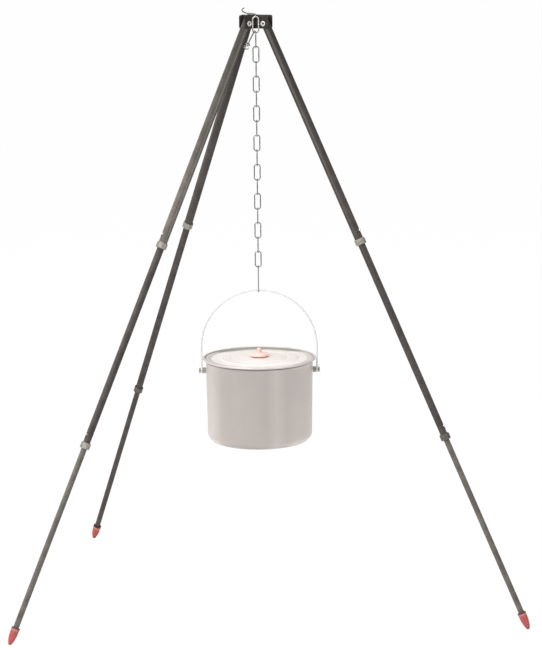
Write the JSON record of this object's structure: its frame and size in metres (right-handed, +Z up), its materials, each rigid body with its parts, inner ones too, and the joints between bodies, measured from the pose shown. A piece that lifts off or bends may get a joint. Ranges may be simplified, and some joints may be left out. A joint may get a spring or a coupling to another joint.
{
  "type": "campfire cooking tripod",
  "caption": "Telescoping campfire tripod: riveted steel hub, legs with collars, snap buttons and rubber feet, a hanging chain with hooks, and a lidded pot on a wire bail.",
  "frame": {"origin": "on the ground, in the middle of the footprint's bounding box", "axes": "+Z up; -Y towards the side from which the chain hangs; +X to the right seen from there"},
  "size_m": [1.1429, 0.8518, 1.3543],
  "materials": {
    "powder_coated_steel": "dark warm grey powder coat, fine texture",
    "black_steel_plate": "near-black painted steel plate",
    "collar_metal": "dull grey metal sleeves",
    "bright_zinc": "bright zinc-plated wire, rivets and buttons",
    "red_rubber": "moulded red rubber",
    "satin_aluminium": "satin spun aluminium",
    "coral_knob": "coral heat-resistant plastic"
  },
  "bodies": {
    "hub": {"hub_plate_front": "black_steel_plate", "hub_plate_right": "black_steel_plate", "hub_plate_left": "black_steel_plate", "hub_rivet_front_left": "bright_zinc", "hub_rivet_right": "bright_zinc", "hub_rivet_back_left": "bright_zinc", "suspension_hook": "bright_zinc"},
    "leg_front_left_upper": {"leg_front_left_upper_tube": "powder_coated_steel", "leg_front_left_upper_collar": "collar_metal"},
    "leg_front_left_middle": {"leg_front_left_middle_tube": "powder_coated_steel", "leg_front_left_lower_collar": "collar_metal"},
    "leg_front_left_lower": {"leg_front_left_lower_tube": "powder_coated_steel", "leg_front_left_foot": "red_rubber"},
    "leg_front_left_upper_button": {"leg_front_left_upper_button": "bright_zinc"},
    "leg_front_left_lower_button": {"leg_front_left_lower_button": "bright_zinc"},
    "leg_right_upper": {"leg_right_upper_tube": "powder_coated_steel", "leg_right_upper_collar": "collar_metal"},
    "leg_right_middle": {"leg_right_middle_tube": "powder_coated_steel", "leg_right_lower_collar": "collar_metal"},
    "leg_right_lower": {"leg_right_lower_tube": "powder_coated_steel", "leg_right_foot": "red_rubber"},
    "leg_right_upper_button": {"leg_right_upper_button": "bright_zinc"},
    "leg_right_lower_button": {"leg_right_lower_button": "bright_zinc"},
    "leg_back_left_upper": {"leg_back_left_upper_tube": "powder_coated_steel", "leg_back_left_upper_collar": "collar_metal"},
    "leg_back_left_middle": {"leg_back_left_middle_tube": "powder_coated_steel", "leg_back_left_lower_collar": "collar_metal"},
    "leg_back_left_lower": {"leg_back_left_lower_tube": "powder_coated_steel", "leg_back_left_foot": "red_rubber"},
    "leg_back_left_upper_button": {"leg_back_left_upper_button": "bright_zinc"},
    "leg_back_left_lower_button": {"leg_back_left_lower_button": "bright_zinc"},
    "chain_link_01": {"chain_link_01": "bright_zinc"},
    "chain_link_02": {"chain_link_02": "bright_zinc"},
    "chain_link_03": {"chain_link_03": "bright_zinc"},
    "chain_link_04": {"chain_link_04": "bright_zinc"},
    "chain_link_05": {"chain_link_05": "bright_zinc"},
    "chain_link_06": {"chain_link_06": "bright_zinc"},
    "chain_link_07": {"chain_link_07": "bright_zinc"},
    "chain_link_08": {"chain_link_08": "bright_zinc"},
    "chain_link_09": {"chain_link_09": "bright_zinc"},
    "chain_link_10": {"chain_link_10": "bright_zinc"},
    "chain_link_11": {"chain_link_11": "bright_zinc"},
    "chain_link_12": {"chain_link_12": "bright_zinc"},
    "chain_link_13": {"chain_link_13": "bright_zinc"},
    "chain_link_14": {"chain_link_14": "bright_zinc"},
    "chain_link_15": {"chain_link_15": "bright_zinc"},
    "chain_link_16": {"chain_link_16": "bright_zinc"},
    "chain_link_17": {"chain_link_17": "bright_zinc"},
    "pot_hook": {"pot_hook": "bright_zinc"},
    "pot_bail": {"pot_bail": "bright_zinc"},
    "pot": {"pot_shell": "satin_aluminium", "pot_ear_left": "satin_aluminium", "pot_ear_right": "satin_aluminium"},
    "pot_lid": {"pot_lid": "satin_aluminium", "lid_knob": "coral_knob"},
    "tail_link": {"tail_link": "bright_zinc"},
    "tail_hook": {"tail_hook": "bright_zinc"}
  },
  "joints": [
    {"name": "leg_front_left_fold", "type": "hinge", "parent": "hub", "child": "leg_front_left_upper", "pos_m": [-0.03894, -0.08429, 1.318], "axis": [-0.5373, 0.8434, 0], "range_deg": [-14, 0]},
    {"name": "leg_right_fold", "type": "hinge", "parent": "hub", "child": "leg_right_upper", "pos_m": [0.00293, -0.08181, 1.318], "axis": [-0.4337, -0.9011, 0], "range_deg": [-14, 0]},
    {"name": "leg_back_left_fold", "type": "hinge", "parent": "hub", "child": "leg_back_left_upper", "pos_m": [-0.03435, -0.05321, 1.318], "axis": [0.7581, 0.6521, 0], "range_deg": [-14, 0]},
    {"name": "leg_front_left_middle_slide", "type": "slide", "parent": "leg_front_left_upper", "child": "leg_front_left_middle", "axis": [-0.3627, -0.2311, -0.9028], "range_m": [-0.41, 0]},
    {"name": "leg_front_left_lower_slide", "type": "slide", "parent": "leg_front_left_middle", "child": "leg_front_left_lower", "axis": [-0.3627, -0.2311, -0.9028], "range_m": [-0.41, 0]},
    {"name": "leg_right_middle_slide", "type": "slide", "parent": "leg_right_upper", "child": "leg_right_middle", "axis": [0.3875, -0.1865, -0.9028], "range_m": [-0.41, 0]},
    {"name": "leg_right_lower_slide", "type": "slide", "parent": "leg_right_middle", "child": "leg_right_lower", "axis": [0.3875, -0.1865, -0.9028], "range_m": [-0.41, 0]},
    {"name": "leg_back_left_middle_slide", "type": "slide", "parent": "leg_back_left_upper", "child": "leg_back_left_middle", "axis": [-0.2805, 0.3261, -0.9028], "range_m": [-0.41, 0]},
    {"name": "leg_back_left_lower_slide", "type": "slide", "parent": "leg_back_left_middle", "child": "leg_back_left_lower", "axis": [-0.2805, 0.3261, -0.9028], "range_m": [-0.41, 0]},
    {"name": "leg_front_left_upper_button_press", "type": "slide", "parent": "leg_front_left_upper", "child": "leg_front_left_upper_button", "axis": [0.7614, 0.4851, -0.4301], "range_m": [0, 0.0018], "stiffness_N_per_m": 400},
    {"name": "leg_front_left_lower_button_press", "type": "slide", "parent": "leg_front_left_middle", "child": "leg_front_left_lower_button", "axis": [0.7614, 0.4851, -0.4301], "range_m": [0, 0.0018], "stiffness_N_per_m": 400},
    {"name": "leg_right_upper_button_press", "type": "slide", "parent": "leg_right_upper", "child": "leg_right_upper_button", "axis": [-0.8135, 0.3915, -0.4301], "range_m": [0, 0.0018], "stiffness_N_per_m": 400},
    {"name": "leg_right_lower_button_press", "type": "slide", "parent": "leg_right_middle", "child": "leg_right_lower_button", "axis": [-0.8135, 0.3915, -0.4301], "range_m": [0, 0.0018], "stiffness_N_per_m": 400},
    {"name": "leg_back_left_upper_button_press", "type": "slide", "parent": "leg_back_left_upper", "child": "leg_back_left_upper_button", "axis": [0.5887, -0.6844, -0.4301], "range_m": [0, 0.0018], "stiffness_N_per_m": 400},
    {"name": "leg_back_left_lower_button_press", "type": "slide", "parent": "leg_back_left_middle", "child": "leg_back_left_lower_button", "axis": [0.5887, -0.6844, -0.4301], "range_m": [0, 0.0018], "stiffness_N_per_m": 400},
    {"name": "lid_lift", "type": "slide", "parent": "pot", "child": "pot_lid", "axis": [0, 0, 1], "range_m": [0, 0.035]},
    {"name": "pot_tilt", "type": "hinge", "parent": "pot_bail", "child": "pot", "pos_m": [-0.0187, -0.0926, 0.5368], "axis": [-1, 0, 0], "range_deg": [-20, 20]},
    {"name": "pot_bail_hinge", "type": "hinge", "parent": "pot_hook", "child": "pot_bail", "pos_m": [-0.0187, -0.0926, 0.71665], "axis": [0, -1, 0], "range_deg": [-10, 10]},
    {"name": "pot_hook_hinge", "type": "hinge", "parent": "chain_link_17", "child": "pot_hook", "pos_m": [-0.0187, -0.0926, 0.77319], "axis": [1, 0, 0], "range_deg": [-10, 10]},
    {"name": "tail_link_hinge", "type": "hinge", "parent": "chain_link_01", "child": "tail_link", "pos_m": [-0.0229, -0.0926, 1.29915], "axis": [1, 0, 0], "range_deg": [-6, 6]},
    {"name": "tail_hook_hinge", "type": "hinge", "parent": "tail_link", "child": "tail_hook", "pos_m": [-0.03649, -0.10799, 1.2736], "axis": [-0.2204, 0.8829, -0.4145], "range_deg": [-10, 10]},
    {"name": "chain_hinge_01", "type": "hinge", "parent": "hub", "child": "chain_link_01", "pos_m": [-0.0187, -0.0926, 1.3305], "axis": [0, 1, 0], "range_deg": [-2.5, 2.5]},
    {"name": "chain_hinge_02", "type": "hinge", "parent": "chain_link_01", "child": "chain_link_02", "pos_m": [-0.0187, -0.0926, 1.29767], "axis": [1, 0, 0], "range_deg": [-10, 10]},
    {"name": "chain_hinge_03", "type": "hinge", "parent": "chain_link_02", "child": "chain_link_03", "pos_m": [-0.0187, -0.0926, 1.26489], "axis": [0, -1, 0], "range_deg": [-10, 10]},
    {"name": "chain_hinge_04", "type": "hinge", "parent": "chain_link_03", "child": "chain_link_04", "pos_m": [-0.0187, -0.0926, 1.23211], "axis": [-1, 0, 0], "range_deg": [-10, 10]},
    {"name": "chain_hinge_05", "type": "hinge", "parent": "chain_link_04", "child": "chain_link_05", "pos_m": [-0.0187, -0.0926, 1.19933], "axis": [0, 1, 0], "range_deg": [-10, 10]},
    {"name": "chain_hinge_06", "type": "hinge", "parent": "chain_link_05", "child": "chain_link_06", "pos_m": [-0.0187, -0.0926, 1.16655], "axis": [1, 0, 0], "range_deg": [-10, 10]},
    {"name": "chain_hinge_07", "type": "hinge", "parent": "chain_link_06", "child": "chain_link_07", "pos_m": [-0.0187, -0.0926, 1.13377], "axis": [0, -1, 0], "range_deg": [-10, 10]},
    {"name": "chain_hinge_08", "type": "hinge", "parent": "chain_link_07", "child": "chain_link_08", "pos_m": [-0.0187, -0.0926, 1.10099], "axis": [-1, 0, 0], "range_deg": [-10, 10]},
    {"name": "chain_hinge_09", "type": "hinge", "parent": "chain_link_08", "child": "chain_link_09", "pos_m": [-0.0187, -0.0926, 1.06821], "axis": [0, 1, 0], "range_deg": [-10, 10]},
    {"name": "chain_hinge_10", "type": "hinge", "parent": "chain_link_09", "child": "chain_link_10", "pos_m": [-0.0187, -0.0926, 1.03543], "axis": [1, 0, 0], "range_deg": [-10, 10]},
    {"name": "chain_hinge_11", "type": "hinge", "parent": "chain_link_10", "child": "chain_link_11", "pos_m": [-0.0187, -0.0926, 1.00265], "axis": [0, -1, 0], "range_deg": [-10, 10]},
    {"name": "chain_hinge_12", "type": "hinge", "parent": "chain_link_11", "child": "chain_link_12", "pos_m": [-0.0187, -0.0926, 0.96987], "axis": [-1, 0, 0], "range_deg": [-10, 10]},
    {"name": "chain_hinge_13", "type": "hinge", "parent": "chain_link_12", "child": "chain_link_13", "pos_m": [-0.0187, -0.0926, 0.93709], "axis": [0, 1, 0], "range_deg": [-10, 10]},
    {"name": "chain_hinge_14", "type": "hinge", "parent": "chain_link_13", "child": "chain_link_14", "pos_m": [-0.0187, -0.0926, 0.90431], "axis": [1, 0, 0], "range_deg": [-10, 10]},
    {"name": "chain_hinge_15", "type": "hinge", "parent": "chain_link_14", "child": "chain_link_15", "pos_m": [-0.0187, -0.0926, 0.87153], "axis": [0, -1, 0], "range_deg": [-10, 10]},
    {"name": "chain_hinge_16", "type": "hinge", "parent": "chain_link_15", "child": "chain_link_16", "pos_m": [-0.0187, -0.0926, 0.83875], "axis": [-1, 0, 0], "range_deg": [-10, 10]},
    {"name": "chain_hinge_17", "type": "hinge", "parent": "chain_link_16", "child": "chain_link_17", "pos_m": [-0.0187, -0.0926, 0.80597], "axis": [0, 1, 0], "range_deg": [-10, 10]}
  ]
}
